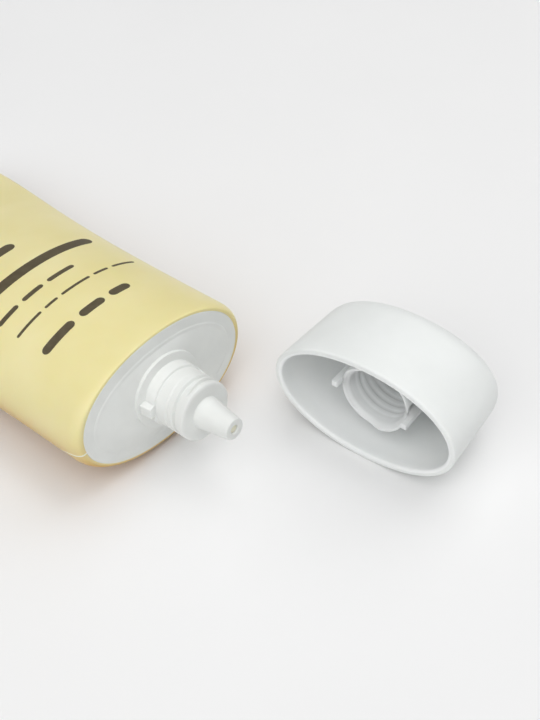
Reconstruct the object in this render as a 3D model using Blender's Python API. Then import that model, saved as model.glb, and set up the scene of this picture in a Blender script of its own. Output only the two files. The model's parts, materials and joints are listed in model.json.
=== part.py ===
"""Oval squeeze tube of sun cream, with its screw cap taken off and lying beside it.

Metres, +Z up. The tube lies on its broad belly with its head towards +X, and the
cap lies on its broad side with its mouth towards the nozzle. The origin is on the
surface they lie on, under the middle of the box round both.

Each group is built along its own axis, with x forward: the tube's x is zero in the
plane of the head's rim, and the cap's x is its depth behind the mouth. On the closed
tube the two axes are one.
"""
import math

import bmesh
import bpy
from mathutils import Matrix, Vector

# Clearances: of a seated piece, of the screw, and of the closed cap from the head.
SEAT_GAP = 0.0003
SCREW_CLEARANCE = 0.0002
CLOSED_GAP = 0.0003
TIP_CLEARANCE = 0.0003

# Oval sleeve. The girth is that of a 40 mm round tube, pressed oval at the shoulder.
BODY_HALF_WIDTH = 0.0248
BODY_HALF_THICKNESS = 0.0148
SLEEVE_WALL = 0.0005
TAPER_LENGTH = 0.101
TAPER_POWER_SHARE = 2.5
SHOULDER_DEPTH = 0.0034
LIP_PROUD = 0.0002
CRIMP_LENGTH = 0.008
CRIMP_HALF_THICKNESS = 0.0005
CRIMP_EDGE_SHARE = 0.35
CRIMP_FLATTEN_POWER_SHARE = 6.0

# Head: the oval plate and its skirt, the collar, the two lugs, the neck and the nozzle.
HEAD_HALF_WIDTH = 0.0223
HEAD_HALF_THICKNESS = 0.0138
HEAD_WALL = 0.0012
SKIRT_LENGTH = 0.0085
RIDGE_INSET = 0.0027
RIDGE_WIDTH = 0.0008
RIM_RISE = 0.0003
RIDGE_HEIGHT = 0.0003
COLLAR_RADIUS = 0.0091
COLLAR_HEIGHT = 0.0019
COLLAR_STEP = 0.0006
LUG_WIDTH = 0.0027
LUG_HEIGHT = 0.0040
NECK_BASE_RADIUS = 0.0073
NECK_BASE_HEIGHT = 0.0052
NECK_RADIUS = 0.0063
NECK_HEIGHT = 0.0128
NECK_WALL = 0.0013
SCREW_RADIUS = 0.0069
TOP_BAND_LENGTH = 0.0017
TOP_BAND_ROUND = 0.0009
NOZZLE_BASE_RADIUS = 0.0039
NOZZLE_TIP_RADIUS = 0.00245
NOZZLE_LENGTH = 0.0088
NOZZLE_ROUND = 0.0002
NOZZLE_WALL = 0.0011
ORIFICE_RADIUS = 0.00085
ORIFICE_LENGTH = 0.0030

# Cap: the oval outer shell, the socket insert with its stop fins, and the seal.
CAP_MARGIN_WIDTH = 0.0004
CAP_MARGIN_THICKNESS = 0.0001
CAP_WALL = 0.0013
CAP_END_WALL = 0.0009
CAP_TAPER_WIDTH = 0.0011
CAP_TAPER_THICKNESS = 0.0010
CAP_BACK_ROUND = 0.0042
CAP_RIM_ROUND = 0.0004
INSERT_WALL = 0.0013
INSERT_LEAD_IN = 0.0008
INSERT_PLATE = 0.0009
FIN_ENGAGEMENT = 0.0009
FIN_REACH = 0.0095
FIN_SIDE = 0.0020
FIN_THICKNESS = 0.0010
SEAL_DISC_RADIUS = 0.0030
SEAL_DISC_THICKNESS = 0.0005
SEAL_PIN_RADIUS = 0.0005
SEAL_PIN_LENGTH = 0.0017

# Where the cap lies: its mouth's place ahead and to the left of the head, and its turn.
CAP_AHEAD = 0.0365
CAP_ASIDE = 0.0227
CAP_HEADING_DEGREES = 95.5

# Facets, the fullness of the ovals (2 is a plain ellipse) and the overlap of unions.
OVAL_STEPS = 48
SEAL_STEPS = 20
OVAL_POWER_SHARE = 2.06
BODY_STATION_SHARES = (0.0, 0.1, 0.2, 0.29, 0.41, 0.53, 0.65, 0.76, 0.86, 0.94, 1.0)
REST_STATION_SHARES = (0.29, 0.41)
SHOULDER_TURN_SHARES = (0.0, 0.25, 0.5, 0.75, 1.0)
ROUND_TURN_SHARES = (0.0, 0.33, 0.67, 1.0)
UNION_OVERLAP = 0.0004
GIRTH_HALVINGS = 40
SHARP_ANGLE_DEGREES = 32.0


def linear(hex_colour):
    """Linear colour of an sRGB hex string."""
    channels = [int(hex_colour[i:i + 2], 16) / 255 for i in (0, 2, 4)]
    return [c / 12.92 if c <= 0.04045 else ((c + 0.055) / 1.055) ** 2.4 for c in channels]


def plastic(name, hex_colour, roughness):
    """Principled material of one piece."""
    material = bpy.data.materials.new(name)
    material.use_nodes = True
    shader = material.node_tree.nodes["Principled BSDF"]
    shader.inputs["Base Color"].default_value = (*linear(hex_colour), 1.0)
    shader.inputs["Roughness"].default_value = roughness
    shader.inputs["Metallic"].default_value = 0.0
    return material


def oval(x, half_width, half_thickness, flatness=0.0):
    """Ring of points across the axis: an oval, which flatness presses to a flat strip."""
    points = []
    for step in range(OVAL_STEPS):
        angle = 2 * math.pi * step / OVAL_STEPS
        cosine, sine = math.cos(angle), math.sin(angle)
        across = math.copysign(abs(cosine) ** (2 / OVAL_POWER_SHARE), cosine)
        up = math.copysign(abs(sine) ** (2 / OVAL_POWER_SHARE), sine)
        pressed = max(-1.0, min(1.0, sine / CRIMP_EDGE_SHARE))
        up += flatness * (pressed - up)
        points.append(Vector((x, half_width * across, half_thickness * up)))
    return points


def turned(profile, steps=OVAL_STEPS):
    """Round rings across the axis, one for each (x, radius) of a profile."""
    angles = [2 * math.pi * step / steps for step in range(steps)]
    return [
        [Vector((x, radius * math.cos(a), radius * math.sin(a))) for a in angles]
        for x, radius in profile
    ]


def new_piece(name, work):
    """Object in the scene from a finished working mesh."""
    bmesh.ops.recalc_face_normals(work, faces=work.faces)
    mesh = bpy.data.meshes.new(name)
    work.to_mesh(mesh)
    work.free()
    piece = bpy.data.objects.new(name, mesh)
    bpy.context.scene.collection.objects.link(piece)
    return piece


def loft(name, rings, endless=False):
    """Closed body through a row of rings; its ends are capped, or meet if it is endless."""
    work = bmesh.new()
    rows = [[work.verts.new(point) for point in ring] for ring in rings]
    pairs = list(zip(rows, rows[1:]))
    if endless:
        pairs.append((rows[-1], rows[0]))
    else:
        work.faces.new(rows[0])
        work.faces.new(rows[-1])
    for near, far in pairs:
        for i in range(len(near)):
            j = (i + 1) % len(near)
            work.faces.new((near[i], near[j], far[j], far[i]))
    return new_piece(name, work)


def block(name, low, high):
    """Plain block between two corners, to be united with a piece."""
    work = bmesh.new()
    bmesh.ops.create_cube(work, size=1.0)
    size = Vector(high) - Vector(low)
    place = Matrix.Translation((Vector(high) + Vector(low)) / 2)
    bmesh.ops.transform(work, matrix=place @ Matrix.Diagonal((*size, 1.0)), verts=work.verts)
    return new_piece(name, work)


def unite_pair(piece, tool):
    """Union of a piece with a tool and with its twin, half a turn round the axis."""
    twin = tool.copy()
    twin.data = tool.data.copy()
    twin.data.transform(Matrix.Rotation(math.pi, 4, "X"))
    bpy.context.scene.collection.objects.link(twin)
    for part in (tool, twin):
        part.parent = piece
        part.hide_render = True
        part.display_type = "WIRE"
        union = piece.modifiers.new(part.name, "BOOLEAN")
        union.operation = "UNION"
        union.solver = "EXACT"
        union.object = part


def finish(piece, material, parent):
    """Material, shading and parent of a finished piece."""
    piece.data.materials.append(material)
    piece.data.shade_smooth()
    piece.data.set_sharp_from_angle(angle=math.radians(SHARP_ANGLE_DEGREES))
    piece.parent = parent
    return piece


def girth(half_width, half_thickness):
    """Length round an ellipse, by Ramanujan's formula."""
    total = half_width + half_thickness
    cross = (3 * half_width + half_thickness) * (half_width + 3 * half_thickness)
    return math.pi * (3 * total - math.sqrt(cross))


def width_at(half_thickness):
    """Half width of the sleeve where it is pressed to a half thickness: its girth stays."""
    wanted = girth(BODY_HALF_WIDTH, BODY_HALF_THICKNESS)
    low, high = BODY_HALF_THICKNESS, wanted / 2
    for _ in range(GIRTH_HALVINGS):
        middle = (low + high) / 2
        if girth(middle, half_thickness) < wanted:
            low = middle
        else:
            high = middle
    return (low + high) / 2


def half_thickness_at(share):
    """Half thickness of the sleeve at a share of the way from shoulder to crimp."""
    pressed = share ** TAPER_POWER_SHARE
    return BODY_HALF_THICKNESS + (CRIMP_HALF_THICKNESS - BODY_HALF_THICKNESS) * pressed


def body_oval(share, inset):
    """Ring of the tapering sleeve, an inset inside its outer face."""
    half_thickness = half_thickness_at(share)
    half_width = width_at(half_thickness)
    x = -SHOULDER_DEPTH - TAPER_LENGTH * share
    flatness = share ** CRIMP_FLATTEN_POWER_SHARE
    return oval(x, half_width - inset, half_thickness - inset, flatness)


def cavity_shares(inset, least):
    """Stations behind the shoulder where the room inside an inset is thicker than the least."""
    return [s for s in BODY_STATION_SHARES[1:] if half_thickness_at(s) - inset > least]


def shoulder_ovals(inset, front):
    """Rings of the quarter round from the straight body in to the lip's opening."""
    lip_width = HEAD_HALF_WIDTH + SEAT_GAP + SLEEVE_WALL - inset
    lip_thickness = HEAD_HALF_THICKNESS + SEAT_GAP + SLEEVE_WALL - inset
    rings = []
    for turn in SHOULDER_TURN_SHARES:
        angle = turn * math.pi / 2
        rings.append(oval(
            -SHOULDER_DEPTH + (front + SHOULDER_DEPTH) * math.sin(angle),
            lip_width + (BODY_HALF_WIDTH - inset - lip_width) * math.cos(angle),
            lip_thickness + (BODY_HALF_THICKNESS - inset - lip_thickness) * math.cos(angle),
        ))
    return rings


def make_sleeve():
    """Thin oval wall: a rounded shoulder, and a belly that thins to a flat sealed crimp."""
    end = body_oval(1.0, 0.0)
    rings = [[point - Vector((CRIMP_LENGTH, 0.0, 0.0)) for point in end]]
    rings += [body_oval(share, 0.0) for share in reversed(BODY_STATION_SHARES[1:])]
    rings += shoulder_ovals(0.0, LIP_PROUD)
    rings += reversed(shoulder_ovals(SLEEVE_WALL, LIP_PROUD - SLEEVE_WALL))
    rings += [body_oval(share, SLEEVE_WALL) for share in cavity_shares(SLEEVE_WALL, SLEEVE_WALL)]
    return loft("tube_sleeve", rings)


def skirt_share():
    """Share of the sleeve's taper at which the head's skirt ends."""
    return (SKIRT_LENGTH - SHOULDER_DEPTH) / TAPER_LENGTH


def plate_rings():
    """Outside of the head: skirt, shoulder, rim band and ridge, from back to front."""
    inset = SLEEVE_WALL + SEAT_GAP
    rings = [body_oval(skirt_share(), inset)]
    rings += shoulder_ovals(inset, LIP_PROUD - inset)
    outline = (
        (0.0, 0.0),
        (RIM_RISE, RIDGE_INSET),
        (RIM_RISE + RIDGE_HEIGHT, RIDGE_INSET + RIDGE_WIDTH / 2),
        (RIM_RISE + RIDGE_HEIGHT / 2, RIDGE_INSET + RIDGE_WIDTH),
    )
    for x, inward in outline:
        rings.append(oval(x, HEAD_HALF_WIDTH - inward, HEAD_HALF_THICKNESS - inward))
    return rings


def neck_profile():
    """(x, radius) up the collar and the neck, over the nozzle and back down its bore."""
    tip = NECK_HEIGHT + NOZZLE_LENGTH
    shoulder = NECK_BASE_RADIUS - NECK_RADIUS
    undercut = SCREW_RADIUS - NECK_RADIUS
    profile = [
        (COLLAR_HEIGHT - COLLAR_STEP, COLLAR_RADIUS),
        (COLLAR_HEIGHT, COLLAR_RADIUS - NOZZLE_ROUND),
        (COLLAR_HEIGHT, NECK_BASE_RADIUS),
        (NECK_BASE_HEIGHT - shoulder / 2, NECK_BASE_RADIUS),
        (NECK_BASE_HEIGHT, NECK_RADIUS),
        (NECK_HEIGHT - TOP_BAND_LENGTH - undercut / 2, NECK_RADIUS),
        (NECK_HEIGHT - TOP_BAND_LENGTH, SCREW_RADIUS),
    ]
    for turn in ROUND_TURN_SHARES:
        angle = turn * math.pi / 2
        profile.append((
            NECK_HEIGHT - TOP_BAND_ROUND * (1 - math.sin(angle)),
            SCREW_RADIUS - TOP_BAND_ROUND * (1 - math.cos(angle)),
        ))
    profile += [
        (NECK_HEIGHT, NOZZLE_BASE_RADIUS + NOZZLE_ROUND),
        (NECK_HEIGHT + NOZZLE_ROUND, NOZZLE_BASE_RADIUS),
        (tip - NOZZLE_ROUND, NOZZLE_TIP_RADIUS),
        (tip, NOZZLE_TIP_RADIUS - NOZZLE_ROUND),
        (tip, ORIFICE_RADIUS + NOZZLE_ROUND),
        (tip - NOZZLE_ROUND, ORIFICE_RADIUS),
        (tip - ORIFICE_LENGTH, ORIFICE_RADIUS),
        (tip - ORIFICE_LENGTH - NOZZLE_WALL, NOZZLE_TIP_RADIUS - NOZZLE_WALL),
        (NECK_HEIGHT, NOZZLE_BASE_RADIUS - NOZZLE_WALL),
        (NECK_HEIGHT - NECK_WALL, NECK_RADIUS - NECK_WALL),
        (0.0, NECK_RADIUS - NECK_WALL),
        (-HEAD_WALL, NECK_RADIUS - NECK_WALL / 2),
    ]
    return profile


def under_rings(inset):
    """Inside of the plate and the skirt, an inset inside it, from front to back."""
    behind = SLEEVE_WALL + SEAT_GAP + HEAD_WALL + inset
    return [
        oval(
            -HEAD_WALL - inset,
            HEAD_HALF_WIDTH - HEAD_WALL - inset,
            HEAD_HALF_THICKNESS - HEAD_WALL - inset,
        ),
        oval(-SHOULDER_DEPTH, BODY_HALF_WIDTH - behind, BODY_HALF_THICKNESS - behind),
        body_oval(skirt_share(), behind),
    ]


def make_head():
    """One moulding: skirt, oval plate, collar with two stop lugs, neck and nozzle."""
    rings = plate_rings() + turned(neck_profile()) + under_rings(0.0)
    head = loft("head", rings, endless=True)
    # A lug stands where a fin of the closing cap comes to rest against its upper side.
    top = FIN_SIDE - FIN_THICKNESS - SEAT_GAP
    lug = block(
        "lug",
        (COLLAR_HEIGHT - UNION_OVERLAP, NECK_BASE_RADIUS - UNION_OVERLAP, top - LUG_WIDTH),
        (LUG_HEIGHT, COLLAR_RADIUS - UNION_OVERLAP / 2, top),
    )
    unite_pair(head, lug)
    return head


def make_cream():
    """The cream fills the neck, the skirt and the sleeve behind it, up to the crimp."""
    stem = NECK_RADIUS - NECK_WALL - SEAT_GAP
    rings = turned([(NECK_HEIGHT - NECK_WALL - SEAT_GAP, stem), (-HEAD_WALL - SEAT_GAP, stem)])
    rings += under_rings(SEAT_GAP)
    inset = SLEEVE_WALL + SEAT_GAP
    behind_skirt = Vector((-SEAT_GAP, 0.0, 0.0))
    rings[-1] = [point + behind_skirt for point in rings[-1]]
    rings.append([point + behind_skirt for point in body_oval(skirt_share(), inset)])
    shares = [share for share in cavity_shares(inset, SEAT_GAP) if share > skirt_share()]
    rings += [body_oval(share, inset) for share in shares]
    # The last station stops short of the end of the room inside the sleeve.
    rings[-1] = [point - behind_skirt for point in rings[-1]]
    return loft("cream", rings)


def cap_height():
    """Height of the cap that closes over the nozzle, its seal included."""
    nozzle = NECK_HEIGHT + NOZZLE_LENGTH - CLOSED_GAP + TIP_CLEARANCE
    return nozzle + SEAL_DISC_THICKNESS + SEAT_GAP + CAP_END_WALL


def cap_oval(x, inset, sized_at=None):
    """Ring of the cap's tapering side, an inset inside it, in the size of another depth if given."""
    share = (x if sized_at is None else sized_at) / cap_height()
    width = HEAD_HALF_WIDTH + CAP_MARGIN_WIDTH - CAP_TAPER_WIDTH * share
    thickness = HEAD_HALF_THICKNESS + CAP_MARGIN_THICKNESS - CAP_TAPER_THICKNESS * share
    return oval(x, width - inset, thickness - inset)


def cap_end_ovals(end, rounding, inset):
    """Rings of a round back edge, from the flat end out to the straight side."""
    rings = []
    for turn in SHOULDER_TURN_SHARES:
        angle = turn * math.pi / 2
        x = end - rounding * (1 - math.cos(angle))
        rings.append(cap_oval(x, inset + rounding * (1 - math.sin(angle))))
    return rings


def make_cap_shell():
    """Oval cup: it tapers a little to a flat end with a softly rounded edge."""
    rings = cap_end_ovals(cap_height(), CAP_BACK_ROUND, 0.0)
    rings.append(cap_oval(CAP_RIM_ROUND, 0.0))
    rings.append(cap_oval(0.0, CAP_RIM_ROUND))
    rings.append(cap_oval(0.0, CAP_WALL - CAP_RIM_ROUND))
    rings.append(cap_oval(CAP_RIM_ROUND, CAP_WALL))
    inside = cap_end_ovals(cap_height() - CAP_END_WALL, CAP_BACK_ROUND - CAP_WALL, CAP_WALL)
    rings += reversed(inside)
    return loft("cap_shell", rings)


def insert_back():
    """Depth of the insert's back face, seated on the inside of the cap's end."""
    return cap_height() - CAP_END_WALL - SEAT_GAP


def make_cap_insert():
    """Screw socket with two stop fins, on an oval plate that snaps into the cap's end."""
    bore = SCREW_RADIUS + SCREW_CLEARANCE
    outside = bore + INSERT_WALL
    mouth = NECK_BASE_HEIGHT - CLOSED_GAP + SEAT_GAP
    back = insert_back()
    front = back - INSERT_PLATE
    hole = SEAL_DISC_RADIUS + SEAT_GAP
    plate_inset = CAP_BACK_ROUND + SEAT_GAP
    rings = turned([
        (mouth + INSERT_WALL / 4, outside),
        (front - INSERT_WALL / 2, outside),
        (front, outside + INSERT_WALL / 2),
    ])
    rings.append(cap_oval(front, plate_inset - INSERT_PLATE / 2, back))
    rings.append(cap_oval(back, plate_inset))
    rings += turned([
        (back, hole),
        (front, hole),
        (front, bore),
        (mouth + INSERT_LEAD_IN, bore),
        (mouth, bore + INSERT_WALL / 2),
        (mouth, outside - INSERT_WALL / 4),
    ])
    insert = loft("cap_insert", rings, endless=True)
    # The fins run the whole length of the socket and stand off its mouth, to meet the lugs.
    fin = block(
        "fin",
        (LUG_HEIGHT - FIN_ENGAGEMENT - CLOSED_GAP, bore + INSERT_WALL / 2, FIN_SIDE - FIN_THICKNESS),
        (front + INSERT_PLATE / 2, FIN_REACH, FIN_SIDE),
    )
    unite_pair(insert, fin)
    return insert


def make_seal():
    """Soft round disc in the insert's end, with a pin that plugs the orifice."""
    back = insert_back()
    face = back - SEAL_DISC_THICKNESS
    profile = [
        (back, SEAL_DISC_RADIUS),
        (face, SEAL_DISC_RADIUS),
        (face, SEAL_PIN_RADIUS),
        (face - SEAL_PIN_LENGTH + SEAL_PIN_RADIUS, SEAL_PIN_RADIUS),
        (face - SEAL_PIN_LENGTH, SEAL_PIN_RADIUS / 2),
    ]
    return loft("seal_plug", turned(profile, SEAL_STEPS))


def carrier(name, rotation, parent):
    """Empty that carries a group of pieces."""
    group = bpy.data.objects.new(name, None)
    group.rotation_euler = rotation
    group.parent = parent
    bpy.context.scene.collection.objects.link(group)
    return group


def corners(pieces):
    """Lowest and highest corner of the world box round some pieces."""
    bpy.context.view_layer.update()
    graph = bpy.context.evaluated_depsgraph_get()
    points = []
    for piece in pieces:
        placed = piece.evaluated_get(graph)
        points += [placed.matrix_world @ vertex.co for vertex in placed.data.vertices]
    low = Vector([min(point[i] for point in points) for i in range(3)])
    high = Vector([max(point[i] for point in points) for i in range(3)])
    return low, high


def belly_tilt():
    """Slope of the belly between the two stations it rests on, under its balance point."""
    near, far = REST_STATION_SHARES
    rise = half_thickness_at(near) - half_thickness_at(far)
    return math.atan2(rise, TAPER_LENGTH * (far - near))


def main():
    for thing in list(bpy.data.objects):
        bpy.data.objects.remove(thing)
    stand = carrier("stand", (0.0, 0.0, 0.0), None)
    tube = carrier("tube_axis", (0.0, -belly_tilt(), 0.0), stand)
    cap_tilt = math.atan2(CAP_TAPER_THICKNESS, cap_height())
    cap = carrier("cap_axis", (0.0, cap_tilt, math.radians(CAP_HEADING_DEGREES)), stand)
    tube_pieces = [
        finish(make_sleeve(), plastic("sleeve_yellow", "E9DFA0", 0.45), tube),
        finish(make_head(), plastic("head_white", "E6E7E4", 0.45), tube),
        finish(make_cream(), plastic("cream_white", "F4F0E2", 0.35), tube),
    ]
    cap_pieces = [
        finish(make_cap_shell(), plastic("cap_white", "EBEEEA", 0.5), cap),
        finish(make_cap_insert(), plastic("insert_natural", "DAD9D6", 0.4), cap),
        finish(make_seal(), plastic("seal_soft", "DEDCD2", 0.6), cap),
    ]
    # Both groups are set down on the surface, then centred over the origin together.
    tube.location.z -= corners(tube_pieces)[0].z
    cap.location = (CAP_AHEAD, CAP_ASIDE, 0.0)
    cap.location.z -= corners(cap_pieces)[0].z
    low, high = corners(tube_pieces + cap_pieces)
    stand.location.x = -(low.x + high.x) / 2
    stand.location.y = -(low.y + high.y) / 2
    bpy.context.view_layer.update()


main()
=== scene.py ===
"""Looks of the oval squeeze tube and its cap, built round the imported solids.

Lengths here are in millimetres until a piece is placed. Each group has its own axes, with
x forward: the tube's x is zero in the plane of the head's rim, and the cap's x is its depth
behind its mouth. Turns run from +y towards +z. Both groups' places come from the record.
"""
import json
import math

import bpy
import numpy as np
from mathutils import Matrix


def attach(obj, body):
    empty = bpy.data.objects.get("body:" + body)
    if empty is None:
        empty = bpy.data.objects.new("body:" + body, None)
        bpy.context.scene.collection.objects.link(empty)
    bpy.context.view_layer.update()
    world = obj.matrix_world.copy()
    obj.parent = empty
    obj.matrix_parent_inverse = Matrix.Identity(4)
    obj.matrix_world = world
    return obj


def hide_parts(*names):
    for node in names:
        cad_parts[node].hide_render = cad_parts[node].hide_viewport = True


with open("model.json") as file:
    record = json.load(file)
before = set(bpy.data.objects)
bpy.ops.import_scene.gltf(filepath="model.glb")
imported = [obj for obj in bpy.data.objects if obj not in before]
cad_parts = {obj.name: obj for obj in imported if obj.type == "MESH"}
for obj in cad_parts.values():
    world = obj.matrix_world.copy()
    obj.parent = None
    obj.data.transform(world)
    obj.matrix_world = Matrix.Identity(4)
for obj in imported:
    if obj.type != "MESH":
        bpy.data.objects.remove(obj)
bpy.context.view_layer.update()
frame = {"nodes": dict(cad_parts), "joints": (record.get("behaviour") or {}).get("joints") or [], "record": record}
record = frame["record"]

MM = 0.001
ROUND = 2.0           # fullness of a true ellipse or circle
OVAL = 2.06           # fullness of the tube's and the cap's ovals

# Sleeve, in the sizes of the source. A pair is a half width and a half height.
BODY = (24.8, 14.8)
WALL = 0.5
TAPER = 101.0
TAPER_POWER = 2.5
SHOULDER = 3.4
CRIMP = 8.0
CRIMP_HALF = 0.5
LIP = (23.1, 14.6)
LIP_END = -0.03       # the lip ends flush with the plate's edge
PRESS_POWER = 6       # how late along the taper the oval is pressed to a strip
STRIP_SINE = 0.35     # the strip has its full thickness beyond this sine
RIB_PITCH = 1.0       # ribs that the sealing jaws leave across the crimp
RIB_DEPTH = 0.16

# Side seam of the sleeve.
SEAM_TURN = math.radians(194)   # its place round the oval
SEAM_DRIFT = math.radians(-9)   # how far it turns on its way up the shoulder
SEAM_REACH = math.radians(40)   # how far from it the sleeve's points turn with it
SEAM_HALF = 0.18      # half width of the weld's cream line
SEAM_STEP = 0.06      # how proud the lapped edge stands

# Print on the sleeve.
INK_PROUD = 0.03      # how far the ink stands over the skin
INK_ROOT = 0.12       # how far its bars reach under it

# Head and cap.
SEAT_GAP = 0.3        # between the sleeve and the head's skirt
SKIRT_WALL = 1.2
HEAD = (22.3, 13.8)
CAP_MOUTH = (22.7, 13.9)
CAP_HEIGHT = 23.3
CAP_TAPER = (1.1, 1.0)
THREAD_PITCH = 2.0    # the joint's own travel in one turn

# Groove of the neck's screw.
GROOVE_TURN = 118     # where it starts, in degrees
GROOVE_EDGE = 11.55   # x of its lower edge there
GROOVE_WIDTH = 1.05
GROOVE_SAG = 0.75     # how far the lower edge dips soon after the start
BAND_BACK = 11.95     # flat back of the top band, where the groove's front stops

SHARP = math.radians(40)  # edges that turn by more than this are shaded sharp
CLOUD = (0.36, 0.64)      # span of the noise over which a finish runs between its two shades
PAINTED_SHADE_ATTRIBUTE = "painted_underside_shade"   # attribute that the painted shade on low, downward-facing parts follows


# ---------------------------------------------------------------- shapes

def turns(count):
    """Angles once round, in equal steps."""
    return np.arange(count) * (2 * np.pi / count)


def signed_power(value, power):
    """The value's size to a power, with the value's sign."""
    return np.sign(value) * np.abs(value) ** power


def rings(rows, angles):
    """Closed rings across the axis, one per row (x, half width, half height, fullness).
    y is half width times |cos| to the power 2 / fullness, and z is half height times |sin|
    to the same power, each with its sign, so a fullness of 2 is a true ellipse."""
    x, wide, high, full = (np.asarray(rows)[:, k, None] for k in range(4))
    y = wide * signed_power(np.cos(angles), 2 / full)
    z = high * signed_power(np.sin(angles), 2 / full)
    return np.stack([x + 0 * y, y, z], axis=-1)


def rounded(corners, step=0.45, bends=7):
    """Rows along a line of corners (x, half width, half height, fullness, rounding). The line
    leaves each corner that far before it and meets it again as far after, on the parabola
    (1-t)(1-t) entry + 2t(1-t) corner + t t exit. Straight runs are cut into equal steps."""
    spots = np.array([c[:4] for c in corners], float)
    size = lambda d: math.hypot(d[0], (d[1] + d[2]) / 2) or 1e-9
    t = np.linspace(0, 1, bends)[:, None]
    parts, leave = [], spots[0]
    for k in range(1, len(spots)):
        here, back = spots[k], spots[k - 1]
        if k < len(spots) - 1 and corners[k][4] > 0:
            ahead = spots[k + 1]
            enter = here + (back - here) * min(corners[k][4] / size(back - here), 0.5)
            out = here + (ahead - here) * min(corners[k][4] / size(ahead - here), 0.5)
            bend = (1 - t) ** 2 * enter + 2 * t * (1 - t) * here + t ** 2 * out
        else:
            enter, out, bend = here, here, here[None]
        cuts = max(1, math.ceil(size(enter - leave) / step))
        run = np.linspace(0, 1, cuts, endpoint=False)[:, None]
        parts += [leave + (enter - leave) * run, bend[:-1]]
        leave = out
    parts.append(leave[None])
    rows = np.vstack(parts)
    keep = np.ones(len(rows), bool)
    keep[1:] = np.abs(np.diff(rows, axis=0)).max(axis=1) > 1e-6
    return rows[keep]


def circles(line, step=0.45, bends=7):
    """Rows of a turned shape from its corners (x, radius, rounding)."""
    return rounded([(x, r, r, ROUND, bend) for x, r, bend in line], step, bends)


def block(low, high, rounding, count=24):
    """Grid of a block between two corners whose edges are rounded: its outline across x is a
    rectangle with quarter-circle corners, and it shrinks by the same quarter circle towards
    both of its ends."""
    low, high = np.array(low, float), np.array(high, float)
    middle, half = (low + high) / 2, (high - low) / 2
    quarter = np.linspace(0, np.pi / 2, 5)
    x = np.concatenate([low[0] + rounding * (1 - np.cos(quarter)),
                        high[0] - rounding * (1 - np.cos(quarter[::-1]))])
    inset = rounding * (1 - np.sin(quarter))
    inset = np.concatenate([inset, inset[::-1]])
    angles = (np.arange(count) + 0.5) * (2 * np.pi / count)
    side = np.stack([np.sign(np.cos(angles)), np.sign(np.sin(angles))], axis=-1)
    quadrant = angles % (np.pi / 2)
    spread = (quadrant - quadrant.min()) / (quadrant.max() - quadrant.min()) * np.pi / 2
    lean = angles // (np.pi / 2) * np.pi / 2 + spread
    arc = np.stack([np.cos(lean), np.sin(lean)], axis=-1)
    core = half[1:] - rounding
    outline = middle[1:] + side * core + (rounding - inset)[:, None, None] * arc
    along = np.broadcast_to(x[:, None, None], outline.shape[:2] + (1,))
    return np.concatenate([along, outline], axis=-1)


def half_turn(grid):
    """The grid's twin, half a turn round the axis."""
    return grid * np.array([1.0, -1.0, -1.0])


def smooth(value):
    """Soft step from 0 to 1: 3 t t - 2 t t t, with t the value held between 0 and 1."""
    value = np.clip(value, 0, 1)
    return value * value * (3 - 2 * value)


# ---------------------------------------------------------------- materials

def linear(hex_colour):
    """Linear colour, with alpha, of an sRGB hex string."""
    c = np.array([int(hex_colour[i:i + 2], 16) / 255 for i in (0, 2, 4)])
    c = np.where(c <= 0.04045, c / 12.92, ((c + 0.055) / 1.055) ** 2.4)
    return (*c.tolist(), 1.0)


def add(material, kind, inputs, **settings):
    """One node with its settings; each input is a value, or the output socket linked to it."""
    node = material.node_tree.nodes.new("ShaderNode" + kind)
    for name, value in settings.items():
        setattr(node, name, value)
    for name, value in inputs.items():
        if isinstance(value, bpy.types.NodeSocket):
            material.node_tree.links.new(value, node.inputs[name])
        else:
            node.inputs[name].default_value = value
    return node


def finish(name, shade, light, patch, rough, grain, relief, through=0.0, depth=(1, 1, 1), low=None):
    """Moulded, rolled or printed finish. Colour runs between two shades in soft patches of a
    size in mm; roughness runs between two values over the same patches; grain is the size in
    mm of the surface's relief and relief its height in mm. through is the share of light that
    goes through, and depth how far its red, green and blue travel, in mm. low is a painted
    shade: a deeper colour that comes in by the piece's own attribute for it, standing in for
    the shade on what is low and faces down. The index of refraction is left at 1.5, which
    suits polyethylene, polypropylene and what lies on them."""
    material = bpy.data.materials.new(name)
    material.use_nodes = True
    place = add(material, "TexCoord", {}).outputs["Object"]
    cloud = add(material, "TexNoise", {"Vector": place, "Scale": 1 / (patch * MM), "Detail": 3.0})
    tone = add(material, "ValToRGB", {"Fac": cloud.outputs["Fac"]})
    for element, position, hex_colour in zip(tone.color_ramp.elements, CLOUD, (shade, light)):
        element.position, element.color = position, linear(hex_colour)
    colour = tone.outputs["Color"]
    # Painted shade: a deeper colour mixed in where the attribute marks low, downward-facing parts.
    if low:
        share = add(material, "Attribute", {}, attribute_name=PAINTED_SHADE_ATTRIBUTE).outputs["Fac"]
        colour = add(material, "MixRGB", {"Fac": share, "Color1": colour,
                                          "Color2": linear(low)}).outputs["Color"]
    gloss = add(material, "MapRange", {
        "Value": cloud.outputs["Fac"], "From Min": CLOUD[0], "From Max": CLOUD[1],
        "To Min": rough[0], "To Max": rough[1]})
    fine = add(material, "TexNoise", {"Vector": place, "Scale": 1 / (grain * MM), "Detail": 2.0})
    bump = add(material, "Bump", {"Height": fine.outputs["Fac"], "Distance": relief * MM})
    shader = material.node_tree.nodes["Principled BSDF"]
    link = material.node_tree.links.new
    link(colour, shader.inputs["Base Color"])
    link(gloss.outputs["Result"], shader.inputs["Roughness"])
    link(bump.outputs["Normal"], shader.inputs["Normal"])
    shader.inputs["Subsurface Weight"].default_value = through
    shader.inputs["Subsurface Radius"].default_value = [d * MM for d in depth]
    shader.inputs["Subsurface Scale"].default_value = 1.0
    return material


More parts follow.
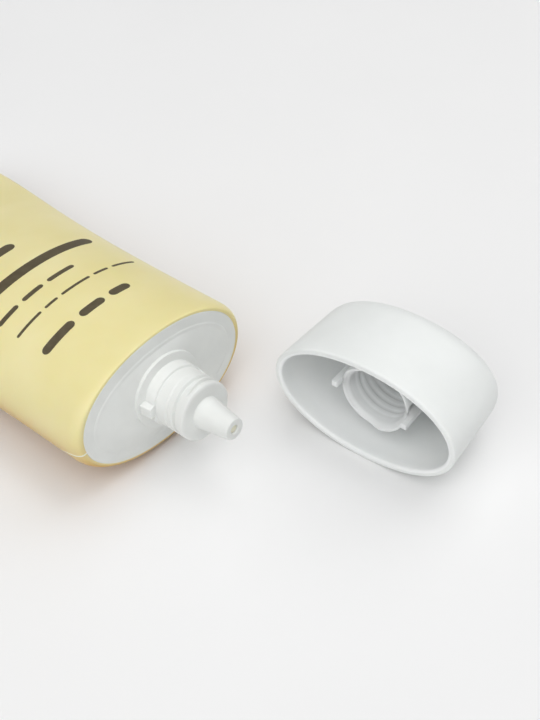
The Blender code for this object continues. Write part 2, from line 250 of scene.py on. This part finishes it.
# Extruded polyethylene laminate, dyed through: satin, faintly clouded, with an orange peel
# of about 0.7 mm, and edges that glow warmer where light passes the thin wall. Its low,
# downward-facing parts carry a painted warm shade, C8922C, that stands in for shade there.
sleeve_laminate = finish("extruded_polyethylene_laminate", "F6E6A6", "FAEBB2", 18, (0.34, 0.42),
                         0.7, 0.004, through=0.15, depth=(3.0, 1.4, 0.4), low="C8922C")
# The side weld of the laminate, where the undyed edge shows as a cream line.
seam_weld = finish("welded_polyethylene_edge", "F9F5E2", "FCFAEE", 4, (0.34, 0.42), 0.5, 0.006,
                   through=0.15, depth=(3.0, 1.6, 0.5))
# Injection-moulded polypropylene of the head: white, satin, faintly see-through at its edges.
head_polypropylene = finish("satin_moulded_polypropylene", "E7E9E6", "EDEFEC", 9, (0.38, 0.46),
                            0.35, 0.003, through=0.15, depth=(0.9, 0.85, 0.8))
# Injection-moulded polypropylene of the cap, from a spark-eroded mould: finely matte.
cap_polypropylene = finish("matte_moulded_polypropylene", "EDF0EE", "F1F4F2", 12, (0.46, 0.54),
                           0.16, 0.006, through=0.3, depth=(2.0, 2.0, 1.9))
# The cap's inside: the same polymer, smoother from a polished core, and painted lighter to stand in for light
# falling into the cup.
core_polypropylene_painted_light = finish("polished_polypropylene_painted_lighter", "F7FAF9", "FAFCFB", 9, (0.30, 0.38),
                            0.4, 0.002, through=0.3, depth=(2.0, 2.0, 1.9))
# Undyed moulded polyethylene of the socket: greyer and cloudier than the cap round it.
insert_polyethylene = finish("natural_moulded_polyethylene", "EAECEC", "EEF0F0", 5, (0.36, 0.44),
                             0.4, 0.004, through=0.7, depth=(3.2, 3.2, 3.2))
# Sun cream: a smooth, wet, slightly yellow emulsion.
sun_cream = finish("smooth_sun_cream_emulsion", "F0EBCF", "F5F1DC", 3, (0.18, 0.26), 0.9, 0.02,
                   through=0.3, depth=(1.5, 1.2, 0.8))
# Closed-cell polyethylene foam of the seal: soft, dull and finely pitted.
seal_foam = finish("closed_cell_polyethylene_foam", "DAD8CC", "E4E2D8", 1.2, (0.62, 0.72), 0.12,
                   0.02, through=0.2, depth=(0.8, 0.8, 0.7))
# Screen-printed ink: dark olive brown, duller than the laminate, with faint thin spots.
screen_ink = finish("screen_printed_ink", "554C38", "5E5540", 1.5, (0.50, 0.60), 0.25, 0.004)
# Painted sweep under the object: pale and dull, with a barely visible grain.
sweep_paint = finish("matte_sweep_paint", "F1F1F1", "F2F2F2", 60, (0.85, 0.92), 1.5, 0.01)


# ---------------------------------------------------------------- pieces

def axes_of(forward, left):
    """Rows of a turned frame: forward, left and up, each of length one."""
    forward = np.array(forward) / np.linalg.norm(forward)
    left = np.array(left) / np.linalg.norm(left)
    return np.stack([forward, left, np.cross(forward, left)])


def tube_place():
    """Origin and axes of the tube: its up is the axis of the crimp's flat face, which lies in
    the middle of the crimp, half a crimp's thickness above the tube's axis."""
    mount = next(m for m in record["mounts"] if m["name"] == "crimp_flat")
    up = np.array(mount["axis"])
    frame_axes = axes_of(np.cross([0.0, 1.0, 0.0], up), [0.0, 1.0, 0.0])
    middle = np.array([-SHOULDER - TAPER - CRIMP / 2, 0.0, CRIMP_HALF]) * MM
    return np.array(mount["pos_m"]) - middle @ frame_axes, frame_axes


def cap_place():
    """Origin and axes of the cap: the middle of its mouth on the screw's axis, x along it."""
    joint = next(j for j in frame["joints"] if j["name"] == "cap_turn")
    forward = np.array(joint["axis"])
    return np.array(joint["pos_m"]), axes_of(forward, np.cross([0.0, 0.0, 1.0], forward))


PLACES = {"tube": tube_place(), "cap": cap_place()}


def faces_of(rows, steps, endless):
    """Quads between neighbouring rings, and the fans to a pole at each end of an open row."""
    i, j = np.meshgrid(np.arange(rows if endless else rows - 1), np.arange(steps), indexing="ij")
    near, far, ahead = i * steps, (i + 1) % rows * steps, (j + 1) % steps
    quads = np.stack([near + j, near + ahead, far + ahead, far + j], axis=-1).reshape(-1, 4)
    if endless:
        return quads, np.empty((0, 3), int)
    step = np.arange(steps)
    after, last = (step + 1) % steps, (rows - 1) * steps
    first_pole, last_pole = rows * steps + 0 * step, rows * steps + 1 + 0 * step
    fans = np.concatenate([np.stack([after, step, first_pole], axis=-1),
                           np.stack([last + step, last + after, last_pole], axis=-1)])
    return quads, fans


def piece(name, grids, group, body, slot, material, *nodes):
    """One object from closed grids (points, endless), placed in the row frame and riding on
    its body. The faces enclose a sixth of the sum, over their triangles, of the triple product
    of the corners, and are turned over where that is negative, so that they point outwards."""
    origin, frame_axes = PLACES[group]
    points, faces, count = [], [], 0
    for grid, endless in grids:
        flat = grid.reshape(-1, 3)
        if not endless:
            flat = np.vstack([flat, grid[0].mean(axis=0), grid[-1].mean(axis=0)])
        quads, fans = faces_of(*grid.shape[:2], endless)
        a, b, c = flat[np.vstack([quads[:, :3], quads[:, [0, 2, 3]], fans])].transpose(1, 0, 2)
        if (np.cross(a, b) * c).sum() < 0:
            quads, fans = quads[:, ::-1], fans[:, ::-1]
        faces += (quads + count).tolist() + (fans + count).tolist()
        points.append(origin + flat @ frame_axes * MM)
        count += len(flat)
    mesh = bpy.data.meshes.new(name)
    mesh.from_pydata(np.vstack(points).tolist(), [], faces)
    mesh.shade_smooth()
    mesh.set_sharp_from_angle(angle=SHARP)
    mesh.materials.append(material)
    made = bpy.data.objects.new(name, mesh)
    bpy.context.scene.collection.objects.link(made)
    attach(made, body)
    if nodes:
        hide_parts(*nodes)
    return made


def second_finish(made, material, marked):
    """Gives the marked faces of a piece a second finish."""
    made.data.materials.append(material)
    marks = np.zeros(len(made.data.polygons), np.int32)
    marks[marked] = 1
    made.data.polygons.foreach_set("material_index", marks)


def girth(wide, thick):
    """Length round an ellipse, by Ramanujan's formula."""
    total = wide + thick
    return np.pi * (3 * total - np.sqrt((3 * wide + thick) * (wide + 3 * thick)))


def sleeve_halves(share):
    """Half width and half thickness of the sleeve at shares of its taper. The half thickness
    falls to the crimp's with the share to the power 2.5, and the half width is the one that
    keeps the girth, found by halving a range forty times."""
    thick = BODY[1] + (CRIMP_HALF - BODY[1]) * share ** TAPER_POWER
    wanted = girth(*BODY)
    low, high = np.full_like(thick, BODY[1]), np.full_like(thick, wanted / 2)
    for _ in range(40):
        middle = (low + high) / 2
        short = girth(middle, thick) < wanted
        low, high = np.where(short, middle, low), np.where(short, high, middle)
    return (low + high) / 2, thick


def pressed(z, share, thick, sine):
    """Heights pressed towards a flat strip as the share to the power 6 grows: they move
    towards the half thickness times sine / 0.35, held between -1 and 1."""
    strip = thick * np.clip(sine / STRIP_SINE, -1, 1)
    return z + share ** PRESS_POWER * (strip - z)


def sleeve_taper(share, inset, angles):
    """Rings of the tapering sleeve at an inset inside its outer face: ovals whose half sizes
    are the sleeve's less the inset, pressed flat as the share grows."""
    wide, thick = sleeve_halves(share)
    x = -SHOULDER - TAPER * share
    angles = beside_seam(x, angles)
    grid = rings(np.stack([x, wide - inset, thick - inset, OVAL + 0 * share], axis=-1), angles)
    grid[..., 2] = pressed(grid[..., 2], share[:, None], (thick - inset)[:, None], np.sin(angles))
    return grid


def sleeve_shoulder(inset, front, angles, count):
    """Quarter ellipse from the straight body in to the lip: the half sizes run with the cosine
    from the body's to the lip's, and x with the sine."""
    turn = np.linspace(0, np.pi / 2, count)
    wide = LIP[0] - inset + (BODY[0] - LIP[0]) * np.cos(turn)
    thick = LIP[1] - inset + (BODY[1] - LIP[1]) * np.cos(turn)
    x = -SHOULDER + (front + SHOULDER) * np.sin(turn)
    return rings(np.stack([x, wide, thick, OVAL + 0 * x], axis=-1), beside_seam(x, angles))


def beside_seam(x, angles):
    """Angles of each ring, moved along with the seam where it drifts up the shoulder: the drift
    comes in smoothly from x = -9 to -2, and fades out within 40 degrees of the seam."""
    near = 1 - smooth(np.abs(angles - SEAM_TURN) / SEAM_REACH)
    return angles + SEAM_DRIFT * smooth((x[:, None] + 9) / 7) * near


def make_sleeve():
    """Thin wall: ribbed crimp, taper, shoulder and lip outside, and the same back inside. The
    crimp's ribs are a cosine wave along x that thins it on both faces, away from its edges. The
    weld at the side seam stands proud by its step, which falls to nothing beyond both of its
    sides over half of its half width."""
    edge = SEAM_HALF / BODY[1]
    even = turns(300)
    even = even[np.abs(even - SEAM_TURN) > 1.6 * edge]
    around = np.sort(np.append(even, SEAM_TURN + edge * np.array([-1.5, -1, 1, 1.5])))
    crimp_x = np.linspace(-CRIMP, 0, 65)[:-1]
    crimp = sleeve_taper(np.ones_like(crimp_x), 0.0, around)
    crimp[..., 0] += crimp_x[:, None]
    ribs = 0.5 - 0.5 * np.cos(2 * np.pi * crimp_x / RIB_PITCH)
    held = np.clip((np.abs(crimp[..., 2]) - 0.2) / 0.3, 0, 1)
    crimp[..., 2] -= np.sign(crimp[..., 2]) * RIB_DEPTH * ribs[:, None] * held
    outer = 1 - np.linspace(0, 1, 150) ** 1.15
    body = sleeve_taper(outer[:-1], 0.0, around)
    shoulder = sleeve_shoulder(0.0, LIP_END, around, 26)
    skin = np.concatenate([crimp, body, shoulder])
    lap = np.clip(1.5 - np.abs(around - SEAM_TURN) / edge, 0, 0.5) * 2
    skin[..., 1] -= SEAM_STEP * lap
    inside = sleeve_shoulder(WALL, LIP_END - WALL / 2, around, 8)[::-1]
    edge_row = inside[:1] + np.array([WALL / 2, 0, 0])
    room = sleeve_taper(np.linspace(0, 1, 40)[1:-2] ** 0.9, WALL, around)
    grid = np.concatenate([skin, edge_row, inside, room])
    made = piece("sleeve_skin", [(grid, False)], "tube", "tube", "sleeve_yellow",
                 sleeve_laminate, "tube_sleeve")
    weld = int(np.argmin(np.abs(around - SEAM_TURN + edge)))
    second_finish(made, seam_weld, slice(weld, len(skin) * len(around), len(around)))
    # The sleeve's low, downward-facing parts get their painted shade.
    paint_underside_shade(made)


def paint_underside_shade(made):
    """Attribute of a placed piece for its painted shade on what is low and faces down: a soft
    step down from 27 to 3 mm above the floor, times a soft step as the upward part of the
    normal falls from 0.75 to -0.4."""
    mesh = made.data
    spots, normals = np.empty((2, 3 * len(mesh.vertices)))
    mesh.vertices.foreach_get("co", spots)
    mesh.vertex_normals.foreach_get("vector", normals)
    share = smooth((27 - spots[2::3] / MM) / 24) * smooth((0.75 - normals[2::3]) / 1.15)
    mesh.attributes.new(PAINTED_SHADE_ATTRIBUTE, "FLOAT", "POINT").data.foreach_set("value", share)


def sleeve_top(x, y, lift):
    """Points on the sleeve's upper face over (x, y), lifted off it along its normal: z is the
    half thickness times (1 - |y / half width| to the fullness) to the power 1 / fullness,
    pressed towards the flat strip as the sleeve is."""
    def height(at_x, at_y):
        share = np.clip((-SHOULDER - at_x) / TAPER, 0, 1)
        wide, thick = sleeve_halves(share)
        sine = np.sqrt(1 - np.abs(at_y / wide) ** OVAL)
        return pressed(thick * sine ** (2 / OVAL), share, thick, sine)
    z, small = height(x, y), 0.01
    slope_x = (height(x + small, y) - height(x - small, y)) / (2 * small)
    slope_y = (height(x, y + small) - height(x, y - small)) / (2 * small)
    normal = np.stack([-slope_x, -slope_y, np.ones_like(z)], axis=-1)
    normal /= np.linalg.norm(normal, axis=-1, keepdims=True)
    return np.stack([x, y, z], axis=-1) + lift[..., None] * normal


def printed_bar(x, height, left, right):
    """Grid of one printed bar across the tube: its half height follows a half circle at both
    ends, and its ring runs over the bar just above the sleeve and back under the skin."""
    half = height / 2
    end = half * (1 - np.cos(np.linspace(0, np.pi / 2, 9)))
    straight = np.linspace(left + half, right - half, 26)[1:-1]
    y = np.concatenate([left + end, straight, (right - end)[::-1]])
    reach = np.minimum(np.minimum(y - left, right - y), half)
    tall = np.sqrt(np.maximum(half ** 2 - (half - reach) ** 2, 1e-4))
    across = np.concatenate([np.linspace(-1, 1, 9), np.linspace(0.98, -0.98, 4)])
    lift = np.repeat([INK_PROUD, -INK_ROOT], [9, 4])
    at_x = x + tall[:, None] * across
    return sleeve_top(at_x, y[:, None] + 0 * at_x, lift + 0 * at_x)


# Rows of plain bars where the tube is printed: (x, height, [(left, right), ...]).
PRINTED_ROWS = (
    (-17.9, 2.4, [(-15.4, -6.2), (-4.2, 2.6), (4.4, 9.8)]),
    (-27.1, 0.8, [(-15.4, -8.0), (-6.8, -3.1), (-1.9, 6.2), (7.4, 11.4), (12.6, 18.7)]),
    (-33.9, 1.4, [(-15.4, -9.4), (-7.9, -2.0), (-0.5, 7.0)]),
    (-42.6, 3.4, [(-15.4, 18.6)]),
    (-54.4, 3.4, [(-15.4, 4.9)]),
)


def make_print():
    """The generic printed rows, as one thin piece on the sleeve."""
    bars = [(printed_bar(x, height, left, right), False)
            for x, height, spans in PRINTED_ROWS for left, right in spans]
    piece("printed_rows", bars, "tube", "tube", "sleeve_yellow", screen_ink)


def helix(x, angle, end_x, end_turn, count):
    """Nearest distance along x to a right-hand helical ridge, and how far it is wound down from
    its end, in turns. The ridge's x falls by one pitch a turn from end_x at end_turn."""
    first = ((end_turn - angle) % (2 * np.pi)) / (2 * np.pi)
    best, wound = np.full(x.shape, 1e3), np.zeros(x.shape)
    for lap in range(math.ceil(count)):
        down = first + lap
        gap = np.where(down <= count, x - (end_x - THREAD_PITCH * down), 1e3)
        closer = np.abs(gap) < np.abs(best)
        best, wound = np.where(closer, gap, best), np.where(closer, down, wound)
    return best, wound


def with_ridge(grid, radius, flank, **path):
    """Raises a helical ridge inwards on a turned grid: its flanks fall over one width, in mm, on
    both sides of a crest half as wide, and both of its ends fade over a twelfth of a turn."""
    angle = np.arctan2(grid[..., 2], grid[..., 1])
    gap, wound = helix(grid[..., 0], angle, **path)
    fade = smooth(wound * 12) * smooth((path["count"] - wound) * 12)
    crest = smooth((1.25 * flank - np.abs(gap)) / flank) * fade
    own = np.hypot(grid[..., 1], grid[..., 2])
    new = own + crest * np.minimum(radius - own, 0)
    grid[..., 1:] *= (new / own)[..., None]
    return grid


def with_groove(grid, root):
    """Cuts the neck's helical groove into a turned grid, down to a root radius. Its line falls
    by one pitch a turn. Its lower edge follows the line, and sags below it around the first
    quarter turn, by soft steps down and up again. Its upper edge runs a groove's width ahead,
    but never past the top band's flat back, so that the groove opens from a point. The lower
    flank rises over 0.45 mm and the upper one over 0.12 mm. The depth comes in over 12 degrees
    and fades out as a soft step from 568 to 808 degrees."""
    angle = np.degrees(np.arctan2(grid[..., 2], grid[..., 1]))
    first = (GROOVE_TURN - angle) % 360
    depth = np.zeros(grid.shape[:2])
    for lap in range(3):
        wound = first + 360 * lap
        line = GROOVE_EDGE - THREAD_PITCH * wound / 360
        low = line - GROOVE_SAG * smooth(wound / 80) * (1 - smooth((wound - 98) / 110))
        high = np.minimum(line + GROOVE_WIDTH, BAND_BACK)
        cut = smooth((grid[..., 0] - low) / 0.45) * smooth((high - grid[..., 0]) / 0.12)
        depth = np.maximum(depth, cut * smooth(wound / 12) * (1 - smooth((wound - 568) / 240)))
    own = np.hypot(grid[..., 1], grid[..., 2])
    grid[..., 1:] *= (1 + depth * (root - own) / own)[..., None]
    return grid


def leaning(lug):
    """The near lug's draft: y goes out by 0.12 of the distance behind x = 4.7 and by 0.05 of
    that below z = 2.15, and z rises by 0.4 of the distance inwards from y = -7.4."""
    x, y, z = np.moveaxis(lug, -1, 0)
    return np.stack([x, y - 0.12 * (4.7 - x) - 0.05 * (2.15 - z), z + 0.4 * (y + 7.4)], axis=-1)


def make_head():
    """One moulding carried round the axis: skirt, shoulder, rim band, ridge, shallow cone to the
    collar, threaded neck, nozzle and bore. Rings pass from oval to round between ridge and
    collar, and the rows are the profile's."""
    around = turns(300)
    skirt = [size - WALL - SEAT_GAP for size in BODY]
    oval = lambda x, sizes, inset, bend: (x, sizes[0] - inset, sizes[1] - inset, OVAL, bend)
    turned = lambda x, radius, bend: (x, radius, radius, ROUND, bend)
    plate = [
        oval(-8.5, skirt, 0, 0), oval(-SHOULDER, skirt, 0, 2.4), oval(-0.6, HEAD, -0.2, 0.3),
        oval(-0.4, HEAD, -0.27, 0.05), oval(0.04, HEAD, -0.27, 0.08), oval(0.08, HEAD, 0.4, 0.2),
        oval(0.12, HEAD, 2.3, 0.15), oval(0.27, HEAD, 2.6, 0.1), oval(0.29, HEAD, 3.3, 0.2),
    ]
    neck = [
        turned(1.08, 9.15, 0.1), turned(1.76, 9.1, 0.1), turned(2.2, 7.35, 0.1),
        turned(4.8, 7.3, 0.2), turned(5.0, 6.85, 0.1), turned(6.2, 6.9, 0),
    ]
    base = rings(rounded(plate + neck, step=0.6), around)
    threaded = rings(circles([(6.25, 6.9, 0), (12.0, 6.9, 0)], step=0.07), around)
    threaded = with_groove(threaded, root=6.2)
    top = rings(circles([
        (12.05, 6.9, 0), (13.15, 6.9, 1.2), (13.15, 3.75, 0.2), (21.6, 2.45, 0.25),
        (21.6, 1.15, 0.12), (21.35, 0.95, 0.1), (18.6, 0.85, 0.1), (17.5, 1.35, 0.1),
        (12.8, 2.8, 0.3), (11.5, 5.0, 0.3), (-1.2, 5.0, 0.3), (-1.2, 5.65, 0.1),
    ], step=0.8, bends=6), around)
    under = rings(rounded([
        turned(-1.2, 6.0, 0), oval(-1.2, HEAD, SKIRT_WALL, 0.3),
        oval(-SHOULDER, skirt, SKIRT_WALL, 1.0), oval(-8.4, skirt, SKIRT_WALL, 0),
    ], step=2.0), around)
    body = np.concatenate([base, threaded, top, under])
    lug = leaning(block((1.3, -8.05, -0.2), (4.95, -5.6, 2.4), 0.12))
    piece("head_moulding", [(body, True), (lug, False), (half_turn(lug), False)],
          "tube", "tube", "head_white", head_polypropylene, "head")


def make_cream_core():
    """The cream's end inside the nozzle: a turned plug that stops just below the orifice."""
    rows = circles([
        (11.3, 0.6, 0), (11.3, 2.5, 0.2), (12.8, 2.6, 0.3), (17.4, 1.2, 0.2), (18.7, 0.8, 0.2),
        (21.25, 0.86, 0.1), (21.15, 0.15, 0),
    ], step=0.5)
    piece("cream_core", [(rings(rows, turns(48)), False)],
          "tube", "tube", "cream_white", sun_cream)


def cap_rows(line, step=0.7, bends=8):
    """Rows of the cap from corners (x, inset, rounding): each half size is the mouth's, less the
    mould's draft in proportion to the depth, less the inset."""
    corners = []
    for x, inset, bend in line:
        wide, thick = (mouth - draft * x / CAP_HEIGHT - inset
                       for mouth, draft in zip(CAP_MOUTH, CAP_TAPER))
        corners.append((x, wide, thick, OVAL, bend))
    return rounded(corners, step, bends)


def make_cap():
    """Oval cup: flat end, soft back edge, straight drafted side, rounded rim and the inside,
    whose smoother finish, painted lighter to stand in for light inside the cup, starts at the
    row nearest the middle of the rim."""
    rows = cap_rows([
        (CAP_HEIGHT, 13.0, 0), (CAP_HEIGHT, 0.0, 5.4), (0.0, 0.0, 0.6), (0.0, 1.75, 0.75),
        (3.5, 1.3, 1.0), (22.4, 1.3, 3.6), (22.4, 12.0, 0),
    ], bends=12)
    steps = 256
    made = piece("cap_cup", [(rings(rows, turns(steps)), False)], "cap", "cap", "cap_white",
                 cap_polypropylene, "cap_shell")
    rim_middle = CAP_MOUTH[0] - 0.9
    rim = int(np.argmin(rows[:, 0] + np.abs(rows[:, 1] - rim_middle)))
    inside = np.r_[rim * steps:(len(rows) - 1) * steps, -steps:0]
    # The inside's lighter colour is painted light.
    second_finish(made, core_polypropylene_painted_light, inside)


def make_insert():
    """Screw socket on its oval plate, as one endless surface, and its two fins. The bore carries
    a right-hand ridge inwards, and its mouth is a funnel whose lip stands proud over a sixth of
    a turn on both sides. Behind the mouth each fin has a foot: its lower side spreads by 1.1
    times the distance from its outer edge times that from its top."""
    bore, outside, mouth, front, back = 7.1, 8.4, 5.2, 21.2, 22.1
    around = turns(240)
    wall = circles([
        (mouth + 1.3, outside, 0), (front - 0.55, outside, 0.2), (front, outside + 0.55, 0),
    ])
    plate = cap_rows([(front, 4.05, 0), (back, 4.5, 0)])
    hole = circles([(back, 3.3, 0), (front, 3.3, 0), (front, bore, 0.1), (18.0, bore, 0)])
    screw = rings(circles([(17.9, bore, 0), (7.4, bore, 0)], step=0.11), around)
    screw = with_ridge(screw, 6.9, 0.75, end_x=17.6, end_turn=math.radians(40), count=4.6)
    lip = circles([
        (7.3, bore, 0), (mouth + 1.0, bore + 0.05, 0.3), (mouth + 0.1, bore + 0.75, 0.25),
        (mouth, outside - 0.15, 0.12), (mouth + 0.2, outside, 0.1), (mouth + 1.2, outside, 0),
    ], step=0.15)
    behind = rings(np.vstack([wall, plate, hole]), around)
    grid = np.concatenate([behind, screw, rings(lip, around)])
    turn = np.degrees(around) % 180
    proud = 0.95 * smooth((turn - 15) / 30) * smooth((100 - turn) / 28)
    near_mouth = 1 - smooth((grid[..., 0] - mouth) / 2.1)
    inner = np.hypot(grid[..., 1], grid[..., 2]) < outside + 0.3
    grid[..., 0] -= proud * near_mouth * inner
    fin_edge, fin_top = 9.5, 2.1
    fin = block((2.8, bore + 1.0, 0.6), (front + 0.45, fin_edge, fin_top), 0.15)
    along = np.linspace(0, 1, 40)[1:-1, None, None]
    fin = np.concatenate([fin[:5], fin[4] + (fin[5] - fin[4]) * along, fin[5:]])
    foot = 1.1 * smooth((fin[..., 0] - mouth + 0.3) / 1.2)
    fin[..., 2] -= foot * (fin_edge - fin[..., 1]) * (fin_top - fin[..., 2])
    piece("cap_socket", [(grid, True), (fin, False), (half_turn(fin), False)],
          "cap", "cap", "insert_natural", insert_polyethylene, "cap_insert")


def dress(node, material):
    """A solid kept from the source gets its finish in its own slots."""
    kept = frame["nodes"][node]
    for index in range(len(kept.data.materials)):
        kept.data.materials[index] = material


make_sleeve()
make_print()
make_head()
make_cream_core()
make_cap()
make_insert()
dress("cream", sun_cream)
dress("seal_plug", seal_foam)


# ---------------------------------------------------------------- floor, light and camera

def make_floor():
    """Wide flat sweep that the tube and the cap lie on."""
    half = 3.0
    corners = [(-half, -half, 0), (half, -half, 0), (half, half, 0), (-half, half, 0)]
    mesh = bpy.data.meshes.new("sweep")
    mesh.from_pydata(corners, [], [(0, 1, 2, 3)])
    mesh.materials.append(sweep_paint)
    floor = bpy.data.objects.new("sweep", mesh)
    bpy.context.scene.collection.objects.link(floor)


def aim(thing, place, axes):
    """Puts an object at a place with its right, up and backward axes."""
    thing.matrix_world = Matrix((*zip(*axes, place), (0, 0, 0, 1)))


def soft_light(name, place, size, power):
    """Square soft box that faces the object."""
    data = bpy.data.lights.new(name, "AREA")
    data.shape, data.size, data.energy = "SQUARE", size, power
    light = bpy.data.objects.new(name, data)
    bpy.context.scene.collection.objects.link(light)
    back = np.array(place) / np.linalg.norm(place)
    right = np.cross([0.0, 1.0, 0.0], back)
    right /= np.linalg.norm(right)
    aim(light, place, (right.tolist(), np.cross(back, right).tolist(), back.tolist()))


def make_camera(place, heading, pitch, roll, focal):
    """Camera that looks along a heading, pitched down and rolled, in radians. focal is in pixels
    of the 540 by 720 picture, whose taller side is taken as 36 mm."""
    level = math.cos(pitch)
    look = np.array([math.cos(heading) * level, math.sin(heading) * level, -math.sin(pitch)])
    side = np.array([math.sin(heading), -math.cos(heading), 0.0])
    over = np.cross(side, look)
    right = side * math.cos(roll) + over * math.sin(roll)
    up = over * math.cos(roll) - side * math.sin(roll)
    data = bpy.data.cameras.new("camera")
    data.sensor_fit, data.sensor_height, data.lens = "VERTICAL", 36.0, focal * 36 / 720
    data.clip_start = 0.01
    camera = bpy.data.objects.new("camera", data)
    bpy.context.scene.collection.objects.link(camera)
    aim(camera, (np.array(place) * MM).tolist(), (right.tolist(), up.tolist(), (-look).tolist()))
    bpy.context.scene.camera = camera


def make_room():
    """Dim white surroundings, which fill the shadows evenly, and plain rendering of colours."""
    room = bpy.data.worlds.new("studio")
    room.use_nodes = True
    background = room.node_tree.nodes["Background"].inputs
    background["Color"].default_value = (1.0, 1.0, 1.0, 1.0)
    background["Strength"].default_value = 0.13
    bpy.context.scene.world = room
    bpy.context.scene.view_settings.view_transform = "Standard"


# Soft boxes: (name, place and side length in metres, power in watts).
SOFT_BOXES = (
    ("left_box", (0.0, -1.2, 1.0), 1.4, 7.8),
    ("right_box", (0.0, 0.9, 1.3), 1.4, 8.5),
    ("front_box", (0.72, -0.1, 1.4), 1.4, 6.7),
    ("near_box", (0.75, -0.85, 1.2), 1.4, 4.3),
    ("top_box", (0.0, 0.0, 1.6), 1.6, 5.9),
)

make_floor()
for box in SOFT_BOXES:
    soft_light(*box)
make_room()
# Fitted to the photograph: place in mm, heading, pitch and roll, and focal length in pixels.
make_camera((161.52, -106.26, 193.08), 2.370719, 0.803263, -0.089366, 1116.2)
